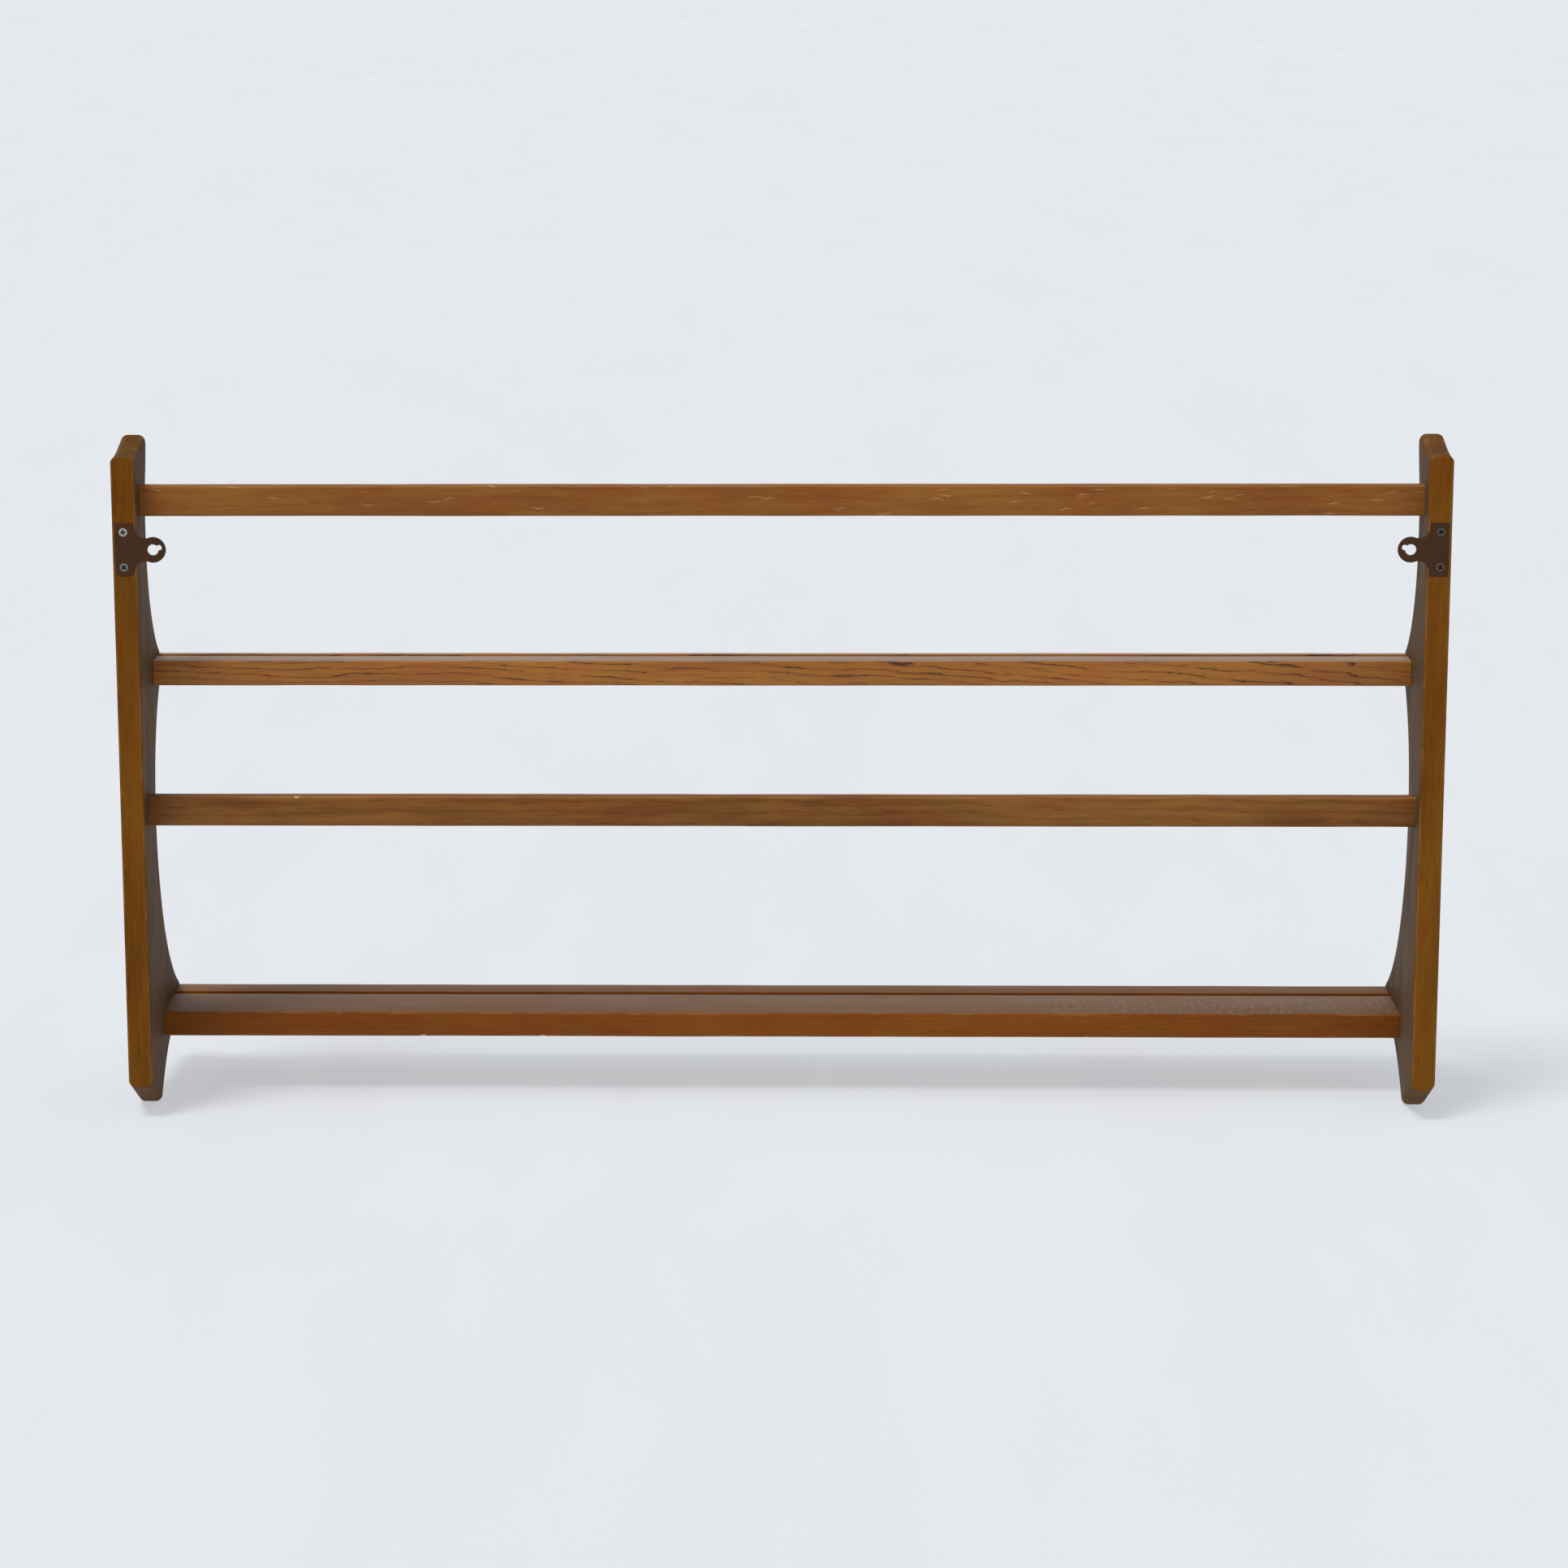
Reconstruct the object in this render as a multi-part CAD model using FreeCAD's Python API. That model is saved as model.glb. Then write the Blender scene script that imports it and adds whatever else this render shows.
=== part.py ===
"""Wall-hung plate rack: two shaped end panels, two rails, two grooved shelves.

Millimetres. +Z is up, the wall is the plane Y = 0 and the front of the rack faces -Y.
The origin lies on the wall, midway between the two hanging holes, so the rack hangs from it.
Left is -X and right is +X, as seen by someone standing in front of the rack.
"""
import FreeCAD, Part
import math
import os

from FreeCAD import Vector

# ---- the whole rack ----
RACK_WIDTH = 965.0
PANEL_THICKNESS = 17.5
PANEL_OUTER_X = RACK_WIDTH / 2
PANEL_INNER_X = PANEL_OUTER_X - PANEL_THICKNESS

# ---- two points closer than this are one place ----
SAME_PLACE = 0.01

# ---- end panel: heights above the hanging holes, depths out from the wall ----
BACK_TOP = 68.0
BACK_FOOT = -402.5
HORN_TIP = 78.5
TOE_TIP = -429.0
LOWER_NOSE_FOOT = -387.5
UPPER_NOSE_DEPTH = 106.5
LOWER_NOSE_DEPTH = 163.5
NOSE_OVERHANG = 2.5
NOSE_RADIUS = 6.0
HORN_RADIUS = 8.0
TOE_RADIUS = 7.0
SHAPED_EDGE_ROUND = 5.0
WALL_EDGE_ROUND = 1.5

# ---- rails ----
RAIL_HEIGHT = 22.5
RAIL_THICKNESS = 12.0
RAIL_WALL_GAP = 18.5
TOP_RAIL_CENTRE = 32.8
MIDDLE_RAIL_CENTRE = -197.3
RAIL_EDGE_ROUND = 1.5

# ---- shelves ----
SHELF_THICKNESS = 19.0
SHELF_EDGE_ROUND = 1.8
UPPER_SHELF_TOP = -93.5
UPPER_SHELF_BACK = 66.0
UPPER_SHELF_FRONT = 102.0
UPPER_GROOVE_FROM_FRONT = 11.0
LOWER_SHELF_TOP = -364.2
LOWER_SHELF_BACK = 73.0
LOWER_SHELF_FRONT = 159.0
LOWER_GROOVE_FROM_FRONT = 27.0
GROOVE_WIDTH = 7.0
GROOVE_DEPTH = 5.0

# ---- dowels ----
RAIL_DOWEL = 6.0
RAIL_DOWEL_RISE = 5.5
SHELF_DOWEL = 8.0
SHELF_DOWEL_RISE = 8.0
UPPER_SHELF_DOWEL_INSETS = (9.0, 27.0)
LOWER_SHELF_DOWEL_INSETS = (14.0, 43.0, 72.0)
DOWEL_IN_PANEL = 12.0
DOWEL_IN_MEMBER = 20.0
DOWEL_CHAMFER = 1.0
DOWEL_HOLE_CLEARANCE = 0.1
HOLE_SPARE_LENGTH = 1.0

# ---- hanging plates and their screws ----
HOLE_X = 453.2
HOLE_RADIUS = 4.0
LOBE_RADIUS = 2.0
LOBE_INWARD = 4.4
LOBE_UP = 1.6
EYE_RADIUS = 9.3
FLANGE_OUTER_X = 480.4
FLANGE_INNER_X = 466.8
FLANGE_HALF_HEIGHT = 19.6
NECK_HALF_HEIGHT = 8.4
FLARE_RADIUS = 8.0
PLATE_THICKNESS = 1.6
SQUARE_CORNER = 1.0
ROUNDED_END = 5.5
LET_IN_CLEARANCE = 0.1
SCREW_X = 474.6
SCREW_HALF_SPACING = 12.8
SCREW_HEAD_RADIUS = 3.2
SCREW_SHANK_RADIUS = 1.6
SCREW_LENGTH = 16.0
SCREW_POINT = 3.5
SCREW_TIP_RADIUS = 0.2
SCREW_SUNK = 0.1
SCREW_CLEARANCE = 0.1
CROSS_SPAN = 3.4
CROSS_WIDTH = 0.75
CROSS_DEPTH = 1.2

# ---- end panel outline, as (depth out from the wall, height) ----
TOP_EDGE = [(0.0, BACK_TOP), (26.0, 69.8), (44.0, 73.4), (65.0, HORN_TIP)]
UPPER_HOLLOW = [(65.0, HORN_TIP), (63.0, 59.0), (56.1, 38.0), (52.2, 5.0), (56.4, -26.5),
                (71.5, -59.7), (90.2, -80.5), (UPPER_NOSE_DEPTH, UPPER_SHELF_TOP + NOSE_OVERHANG)]
WAIST = [(UPPER_NOSE_DEPTH, UPPER_SHELF_TOP - SHELF_THICKNESS - NOSE_OVERHANG), (89.0, -131.5),
         (73.4, -157.2), (64.6, -195.0), (66.1, -232.3), (79.8, -277.2), (104.5, -316.8),
         (138.6, -347.6), (LOWER_NOSE_DEPTH, LOWER_SHELF_TOP + NOSE_OVERHANG)]
UNDERSIDE = [(LOWER_NOSE_DEPTH, LOWER_NOSE_FOOT), (132.0, -389.5), (101.3, -395.7), (74.5, -410.1),
             (51.6, TOE_TIP)]


def in_profile(depth, height):
    return Vector(0, -depth, height)


def profile_curve(points):
    curve = Part.BSplineCurve()
    curve.interpolate([in_profile(depth, height) for depth, height in points])
    return curve.toShape()


def profile_line(start, end):
    return Part.makeLine(in_profile(*start), in_profile(*end))


def panel_outline():
    """The outline with its corners still sharp, from the wall edge up, round the front and back."""
    edges = [
        profile_line((0, BACK_FOOT), (0, BACK_TOP)),
        profile_curve(TOP_EDGE),
        profile_curve(UPPER_HOLLOW),
        profile_line(UPPER_HOLLOW[-1], WAIST[0]),
        profile_curve(WAIST),
        profile_line(WAIST[-1], UNDERSIDE[0]),
        profile_curve(UNDERSIDE),
        profile_line(UNDERSIDE[-1], (0, BACK_FOOT)),
    ]
    return Part.Face(Part.Wire(edges))


def edges_across(solid, depth, height):
    """The edge that runs along X through one corner of the outline."""
    corner = in_profile(depth, height)
    found = []
    for edge in solid.Edges:
        ends = [vertex.Point for vertex in edge.Vertexes]
        if all(math.hypot(end.y - corner.y, end.z - corner.z) < SAME_PLACE for end in ends):
            found.append(edge)
    return found


def on_wall(edge):
    return all(abs(vertex.Point.y) < SAME_PLACE for vertex in edge.Vertexes)


def on_side(edge, side_x):
    return all(abs(vertex.Point.x - side_x) < SAME_PLACE for vertex in edge.Vertexes)


def end_panel_blank():
    """The right-hand panel, with its corners and edges rounded, before any hole is cut."""
    outline = panel_outline()
    outline.translate(Vector(PANEL_INNER_X, 0, 0))
    panel = outline.extrude(Vector(PANEL_THICKNESS, 0, 0))
    corners = [
        (TOP_EDGE[-1], HORN_RADIUS),
        (UPPER_HOLLOW[-1], NOSE_RADIUS),
        (WAIST[0], NOSE_RADIUS),
        (WAIST[-1], NOSE_RADIUS),
        (UNDERSIDE[0], NOSE_RADIUS),
        (UNDERSIDE[-1], TOE_RADIUS),
    ]
    for corner, radius in corners:
        panel = panel.makeFillet(radius, edges_across(panel, *corner))
    shaped = []
    for side_x in (PANEL_INNER_X, PANEL_OUTER_X):
        shaped += [edge for edge in panel.Edges if on_side(edge, side_x) and not on_wall(edge)]
    panel = panel.makeFillet(SHAPED_EDGE_ROUND, shaped)
    return panel.makeFillet(WALL_EDGE_ROUND, [edge for edge in panel.Edges if on_wall(edge)])


# ---- dowel joints: one entry per member, with the dowels at each of its ends ----
RAIL_MIDDLE_Y = -(RAIL_WALL_GAP + RAIL_THICKNESS / 2)
DOWEL_JOINTS = {
    "top_rail": (RAIL_DOWEL, [(RAIL_MIDDLE_Y, TOP_RAIL_CENTRE + rise)
                              for rise in (-RAIL_DOWEL_RISE, RAIL_DOWEL_RISE)]),
    "middle_rail": (RAIL_DOWEL, [(RAIL_MIDDLE_Y, MIDDLE_RAIL_CENTRE + rise)
                                 for rise in (-RAIL_DOWEL_RISE, RAIL_DOWEL_RISE)]),
    "upper_shelf": (SHELF_DOWEL, [(-(UPPER_SHELF_BACK + inset),
                                   UPPER_SHELF_TOP - SHELF_THICKNESS + SHELF_DOWEL_RISE)
                                  for inset in UPPER_SHELF_DOWEL_INSETS]),
    "lower_shelf": (SHELF_DOWEL, [(-(LOWER_SHELF_BACK + inset),
                                   LOWER_SHELF_TOP - SHELF_THICKNESS + SHELF_DOWEL_RISE)
                                  for inset in LOWER_SHELF_DOWEL_INSETS]),
}


def rod_along_x(start_x, end_x, radius, y, z):
    return Part.makeCylinder(radius, end_x - start_x, Vector(start_x, y, z), Vector(1, 0, 0))


def dowel(diameter, y, z):
    """One dowel of the right-hand end, chamfered at both ends."""
    start = PANEL_INNER_X - DOWEL_IN_MEMBER
    end = PANEL_INNER_X + DOWEL_IN_PANEL
    rod = rod_along_x(start, end, diameter / 2, y, z)
    rims = [edge for edge in rod.Edges if on_side(edge, start) or on_side(edge, end)]
    return rod.makeChamfer(DOWEL_CHAMFER, rims)


def dowel_hole(diameter, y, z):
    """The room one dowel takes out of the panel and the member, a little longer than the dowel."""
    start = PANEL_INNER_X - DOWEL_IN_MEMBER - HOLE_SPARE_LENGTH
    end = PANEL_INNER_X + DOWEL_IN_PANEL + HOLE_SPARE_LENGTH
    return rod_along_x(start, end, (diameter + DOWEL_HOLE_CLEARANCE) / 2, y, z)


def mirrored(shape):
    return shape.mirror(Vector(0, 0, 0), Vector(1, 0, 0))


def dowel_holes(member):
    diameter, places = DOWEL_JOINTS[member]
    return [dowel_hole(diameter, y, z) for y, z in places]


# ---- rails and shelves ----
def eased_board(back, front, bottom, top, ease):
    """A board between the panels, with its four long edges eased."""
    board = Part.makeBox(2 * PANEL_INNER_X, front - back, top - bottom,
                         Vector(-PANEL_INNER_X, -front, bottom))
    long_edges = [edge for edge in board.Edges if edge.BoundBox.XLength > PANEL_INNER_X]
    return board.makeFillet(ease, long_edges)


def bored_for_dowels(board, member):
    for hole in dowel_holes(member):
        board = board.cut(hole).cut(mirrored(hole))
    return board


def rail(member, centre):
    half = RAIL_HEIGHT / 2
    board = eased_board(RAIL_WALL_GAP, RAIL_WALL_GAP + RAIL_THICKNESS, centre - half, centre + half,
                        RAIL_EDGE_ROUND)
    return bored_for_dowels(board, member)


def plate_groove(middle_y, top):
    """A round-bottomed groove, open at the top, running the whole length of a shelf."""
    radius = GROOVE_WIDTH / 2
    floor_z = top - GROOVE_DEPTH + radius
    round_floor = rod_along_x(-PANEL_INNER_X, PANEL_INNER_X, radius, middle_y, floor_z)
    mouth = Part.makeBox(2 * PANEL_INNER_X, GROOVE_WIDTH, GROOVE_DEPTH,
                         Vector(-PANEL_INNER_X, middle_y - radius, floor_z))
    return round_floor.fuse(mouth)


def shelf(member, back, front, top, groove_from_front):
    board = eased_board(back, front, top - SHELF_THICKNESS, top, SHELF_EDGE_ROUND)
    board = board.cut(plate_groove(-(front - groove_from_front), top))
    return bored_for_dowels(board, member)


# ---- hanging plates: flat outlines are drawn for the right-hand plate, in X and Z ----
def in_plate(x, z):
    return Vector(x, 0, z)


def arc_about(x, z, radius, degrees):
    """An arc in the plate's plane through three angles about a centre, given in degrees."""
    points = []
    for angle in degrees:
        turn = math.radians(angle)
        points.append(in_plate(x + radius * math.cos(turn), z + radius * math.sin(turn)))
    return Part.Arc(*points).toShape()


def plate_face(spare):
    """Flange, flared neck and round eye, with square corners, all grown outwards by a spare."""
    half = FLANGE_HALF_HEIGHT + spare
    neck = NECK_HALF_HEIGHT + spare
    outer_x = FLANGE_OUTER_X + spare
    inner_x = FLANGE_INNER_X - spare
    eye = EYE_RADIUS + spare
    flare = FLARE_RADIUS - spare
    flare_x = inner_x - flare
    flare_z = neck + flare
    neck_angle = math.degrees(math.asin(neck / eye))
    neck_x = HOLE_X + eye * math.cos(math.radians(neck_angle))
    edges = [
        Part.makeLine(in_plate(outer_x, -half), in_plate(outer_x, half)),
        Part.makeLine(in_plate(outer_x, half), in_plate(inner_x, half)),
        Part.makeLine(in_plate(inner_x, half), in_plate(inner_x, flare_z)),
        arc_about(flare_x, flare_z, flare, (0, -45, -90)),
        Part.makeLine(in_plate(flare_x, neck), in_plate(neck_x, neck)),
        arc_about(HOLE_X, 0, eye, (neck_angle, 180, 360 - neck_angle)),
        Part.makeLine(in_plate(neck_x, -neck), in_plate(flare_x, -neck)),
        arc_about(flare_x, -flare_z, flare, (90, 45, 0)),
        Part.makeLine(in_plate(inner_x, -flare_z), in_plate(inner_x, -half)),
        Part.makeLine(in_plate(inner_x, -half), in_plate(outer_x, -half)),
    ]
    return Part.Face(Part.Wire(edges))


def slab(face, depth):
    """A flat face on the wall plane, given its thickness into the rack."""
    return face.extrude(Vector(0, -depth, 0))


def flange_corners(solid, end_z):
    """The two corner edges at one end of the flange."""
    found = []
    for edge in solid.Edges:
        at_end = abs(edge.CenterOfMass.z - end_z) < SAME_PLACE
        if edge.BoundBox.YLength > PLATE_THICKNESS / 2 and at_end:
            found.append(edge)
    return found


def keyhole():
    """The round hanging hole with its smaller lobe, which the screw's neck slips into."""
    hole = Part.makeCylinder(HOLE_RADIUS, 2 * PLATE_THICKNESS, Vector(HOLE_X, 0, 0), Vector(0, -1, 0))
    lobe = Part.makeCylinder(LOBE_RADIUS, 2 * PLATE_THICKNESS,
                             Vector(HOLE_X - LOBE_INWARD, 0, LOBE_UP), Vector(0, -1, 0))
    return hole.fuse(lobe)


def countersink(height):
    """The room that one screw's head and shank take out of a plate."""
    wide = SCREW_HEAD_RADIUS + SCREW_CLEARANCE
    narrow = SCREW_SHANK_RADIUS + SCREW_CLEARANCE
    cone = Part.makeCone(wide, narrow, wide - narrow, Vector(SCREW_X, 0, height), Vector(0, -1, 0))
    shank = Part.makeCylinder(narrow, 2 * PLATE_THICKNESS, Vector(SCREW_X, 0, height), Vector(0, -1, 0))
    return cone.fuse(shank)


SCREW_HEIGHTS = {"upper": SCREW_HALF_SPACING, "lower": -SCREW_HALF_SPACING}


def plate_blank(lower_corner, spare=0.0):
    """The plate without its holes; with a spare, the let-in that it drops into."""
    end_z = FLANGE_HALF_HEIGHT + spare
    plate = slab(plate_face(spare), PLATE_THICKNESS)
    plate = plate.makeFillet(SQUARE_CORNER + spare, flange_corners(plate, end_z))
    return plate.makeFillet(lower_corner + spare, flange_corners(plate, -end_z))


def hanger_plate(lower_corner):
    plate = plate_blank(lower_corner).cut(keyhole())
    for height in SCREW_HEIGHTS.values():
        plate = plate.cut(countersink(height))
    return plate


def hanger_screw(height):
    """A countersunk wood screw, its head just below the wall plane, with a cross recess."""
    head = Part.makeCone(SCREW_HEAD_RADIUS, SCREW_SHANK_RADIUS, SCREW_HEAD_RADIUS - SCREW_SHANK_RADIUS,
                         Vector(SCREW_X, -SCREW_SUNK, height), Vector(0, -1, 0))
    shank_end = -(SCREW_LENGTH - SCREW_POINT)
    shank = Part.makeCylinder(SCREW_SHANK_RADIUS, -SCREW_SUNK - shank_end,
                              Vector(SCREW_X, -SCREW_SUNK, height), Vector(0, -1, 0))
    point = Part.makeCone(SCREW_SHANK_RADIUS, SCREW_TIP_RADIUS, SCREW_POINT,
                          Vector(SCREW_X, shank_end, height), Vector(0, -1, 0))
    screw = head.fuse(shank).fuse(point)
    for span_x, span_z in ((CROSS_SPAN, CROSS_WIDTH), (CROSS_WIDTH, CROSS_SPAN)):
        screw = screw.cut(Part.makeBox(span_x, CROSS_DEPTH + SCREW_SUNK, span_z,
                                       Vector(SCREW_X - span_x / 2, -CROSS_DEPTH - SCREW_SUNK,
                                              height - span_z / 2)))
    return screw.removeSplitter()


def pilot_hole(height):
    return Part.makeCylinder(SCREW_SHANK_RADIUS + SCREW_CLEARANCE, SCREW_LENGTH + HOLE_SPARE_LENGTH,
                             Vector(SCREW_X, 0, height), Vector(0, -1, 0))


def end_panel(lower_corner):
    """The finished right-hand panel: dowel holes, the let-in for its plate, and screw holes."""
    panel = end_panel_blank()
    for member in DOWEL_JOINTS:
        for hole in dowel_holes(member):
            panel = panel.cut(hole)
    panel = panel.cut(plate_blank(lower_corner, LET_IN_CLEARANCE))
    for height in SCREW_HEIGHTS.values():
        panel = panel.cut(pilot_hole(height))
    return panel


def build_rack():
    nodes = {
        "end_panel_right": end_panel(ROUNDED_END),
        "end_panel_left": mirrored(end_panel(SQUARE_CORNER)),
        "top_rail": rail("top_rail", TOP_RAIL_CENTRE),
        "middle_rail": rail("middle_rail", MIDDLE_RAIL_CENTRE),
        "upper_shelf": shelf("upper_shelf", UPPER_SHELF_BACK, UPPER_SHELF_FRONT, UPPER_SHELF_TOP,
                             UPPER_GROOVE_FROM_FRONT),
        "lower_shelf": shelf("lower_shelf", LOWER_SHELF_BACK, LOWER_SHELF_FRONT, LOWER_SHELF_TOP,
                             LOWER_GROOVE_FROM_FRONT),
        "hanger_plate_right": hanger_plate(ROUNDED_END),
        "hanger_plate_left": mirrored(hanger_plate(SQUARE_CORNER)),
    }
    for member, (diameter, places) in DOWEL_JOINTS.items():
        right = Part.makeCompound([dowel(diameter, y, z) for y, z in places])
        nodes["dowels_" + member + "_right"] = right
        nodes["dowels_" + member + "_left"] = mirrored(right)
    for place, height in SCREW_HEIGHTS.items():
        screw = hanger_screw(height)
        nodes["hanger_screw_right_" + place] = screw
        nodes["hanger_screw_left_" + place] = mirrored(screw)
    return nodes


os.makedirs("parts", exist_ok=True)
for name, shape in build_rack().items():
    box = shape.BoundBox
    print("%-28s valid %s  solids %d  volume %9.1f mm3  x %.1f..%.1f  y %.1f..%.1f  z %.1f..%.1f" % (
        name, shape.isValid(), len(shape.Solids), shape.Volume,
        box.XMin, box.XMax, box.YMin, box.YMax, box.ZMin, box.ZMax))
    shape.exportStep("parts/" + name + ".step")
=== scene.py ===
# %% [markdown]
# # A wall plate rack, finished in Blender
#
# The rack is a piece of joinery: two shaped end panels hold two rails and two grooved shelves,
# all dowelled together, and two dark steel plates let into the wall edges hang it on two screws.
# The measured model is loaded first and is never moved. Everything else here is built around it:
# the camera and the light, then the finishes, then the boards, dowels and panels as clean meshes,
# and the plates and screws last.

# %% Load the measured model and keep its box
import math

import bmesh
import bpy
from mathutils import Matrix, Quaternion, Vector


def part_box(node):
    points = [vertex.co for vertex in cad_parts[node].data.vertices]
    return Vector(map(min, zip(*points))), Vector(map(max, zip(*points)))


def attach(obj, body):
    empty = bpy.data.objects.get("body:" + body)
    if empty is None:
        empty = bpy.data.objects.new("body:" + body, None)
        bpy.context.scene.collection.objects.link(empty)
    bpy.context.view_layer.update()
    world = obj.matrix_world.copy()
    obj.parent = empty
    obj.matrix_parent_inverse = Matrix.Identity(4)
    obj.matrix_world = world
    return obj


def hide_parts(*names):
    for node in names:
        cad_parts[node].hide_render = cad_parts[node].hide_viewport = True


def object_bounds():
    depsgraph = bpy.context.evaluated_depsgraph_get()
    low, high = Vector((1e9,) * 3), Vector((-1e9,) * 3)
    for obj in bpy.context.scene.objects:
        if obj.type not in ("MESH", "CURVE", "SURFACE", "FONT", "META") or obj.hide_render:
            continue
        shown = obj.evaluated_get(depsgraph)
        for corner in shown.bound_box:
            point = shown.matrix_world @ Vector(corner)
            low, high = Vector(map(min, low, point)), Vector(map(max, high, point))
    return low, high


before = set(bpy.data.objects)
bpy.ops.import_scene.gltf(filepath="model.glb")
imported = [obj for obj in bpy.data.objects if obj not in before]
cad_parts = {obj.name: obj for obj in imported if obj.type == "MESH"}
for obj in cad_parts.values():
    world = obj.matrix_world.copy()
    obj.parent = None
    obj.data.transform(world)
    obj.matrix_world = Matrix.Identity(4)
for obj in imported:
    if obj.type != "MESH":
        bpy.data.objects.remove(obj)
CAD_LOW, CAD_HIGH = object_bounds()
MM = 0.001
print("pieces in the measured model:", len(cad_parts))
print("its box in mm:", [round(side / MM, 1) for side in CAD_HIGH - CAD_LOW])

# %% [markdown]
# ## Where the camera stands
#
# The rack is looked at from its wall side, a little above the middle, by a long lens close to the
# centre line. A long lens keeps the rails nearly parallel and still shows the end panels closing in
# towards the front. The camera is aimed with a tracking turn, and a small roll is added to it,
# because that keeps "where it looks" and "how level it is" as two separate numbers. It looks at a
# point a little to one side of the middle, and a small sideways shift of the lens brings the rack
# back to the middle of the picture.

# %% Camera
CAMERA_TARGET = Vector((0.064, 0.0, -0.1725))
CAMERA_DISTANCE = 3.3126
CAMERA_ELEVATION = math.radians(11.966)
CAMERA_YAW = math.radians(-1.354)
CAMERA_ROLL = math.radians(-0.223)
CAMERA_LENS = 104.35
CAMERA_SHIFT = 0.0587

away = Vector((math.sin(CAMERA_YAW) * math.cos(CAMERA_ELEVATION),
               math.cos(CAMERA_YAW) * math.cos(CAMERA_ELEVATION),
               math.sin(CAMERA_ELEVATION)))
bpy.ops.object.camera_add(location=CAMERA_TARGET + away * CAMERA_DISTANCE)
camera = bpy.context.object
camera.name = "camera"
camera.rotation_mode = "QUATERNION"
camera.rotation_quaternion = (-away).to_track_quat("-Z", "Y") @ Quaternion((0, 0, 1), CAMERA_ROLL)
camera.data.lens = CAMERA_LENS
camera.data.shift_x = CAMERA_SHIFT
bpy.context.scene.camera = camera
print("camera stands", round(camera.location.y, 2), "m from the wall plane")

# %% [markdown]
# ## Floor and light
#
# The rack stands on the tips of its end panels on a pale studio floor. The floor is so large that
# it fills the picture to its top edge, which gives one even pale ground with no horizon. A dome of
# even light and one broad sun share the work, and the sun, from the left of the picture, casts the
# soft shadows that run away to the right. Colours are shown as they are mixed, with no film curve.

# %% Floor
FLOOR_SIZE = 90.0
FLOOR_Z = CAD_LOW.z
bpy.ops.mesh.primitive_plane_add(size=FLOOR_SIZE, location=(0, 0, FLOOR_Z))
floor = bpy.context.object
floor.name = "studio_floor"
bpy.ops.object.transform_apply(location=True, rotation=True, scale=True)
print("the floor lies", round(-FLOOR_Z / MM, 1), "mm below the hanging holes")

# %% Dome and sun
DOME_COLOUR = (0.975, 0.988, 1.0, 1.0)
DOME_STRENGTH = 0.47
SUN_STRENGTH = 1.95
SUN_ELEVATION = math.radians(64)
SUN_AZIMUTH = math.radians(44)
SUN_SPREAD = math.radians(20)
SUN_COLOUR = (1.0, 0.985, 0.96)

world = bpy.data.worlds.new("dome")
bpy.context.scene.world = world
world.use_nodes = True
world.node_tree.nodes["Background"].inputs["Color"].default_value = DOME_COLOUR
world.node_tree.nodes["Background"].inputs["Strength"].default_value = DOME_STRENGTH

towards_sun = Vector((math.sin(SUN_AZIMUTH) * math.cos(SUN_ELEVATION),
                      math.cos(SUN_AZIMUTH) * math.cos(SUN_ELEVATION),
                      math.sin(SUN_ELEVATION)))
bpy.ops.object.light_add(type="SUN", location=towards_sun * 4)
sun = bpy.context.object
sun.name = "broad_sun"
sun.rotation_mode = "QUATERNION"
sun.rotation_quaternion = towards_sun.to_track_quat("Z", "Y")
sun.data.energy = SUN_STRENGTH
sun.data.angle = SUN_SPREAD
sun.data.color = SUN_COLOUR
bpy.context.scene.view_settings.view_transform = "Standard"
print("the sun stands", round(math.degrees(SUN_ELEVATION)), "degrees up, from the left of the picture")

# %% [markdown]
# ## A bench for mixing finishes
#
# A finish is a small network of nodes: where a point lies on the piece goes in, and colour,
# roughness and relief come out. Wiring nodes one by one is hard to read, so a small workbench class
# lays them out, and each recipe below reads as a list of steps. A value that changes over the
# surface is wired; a value that is the same all over is set straight on the shader.

# %% The bench
def linear(red, green, blue):
    """A colour as a paint chart gives it (0 to 255), turned into the light values that Blender mixes."""
    def one(value):
        share = value / 255
        return share / 12.92 if share <= 0.04045 else ((share + 0.055) / 1.055) ** 2.4
    return (one(red), one(green), one(blue), 1.0)


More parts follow.
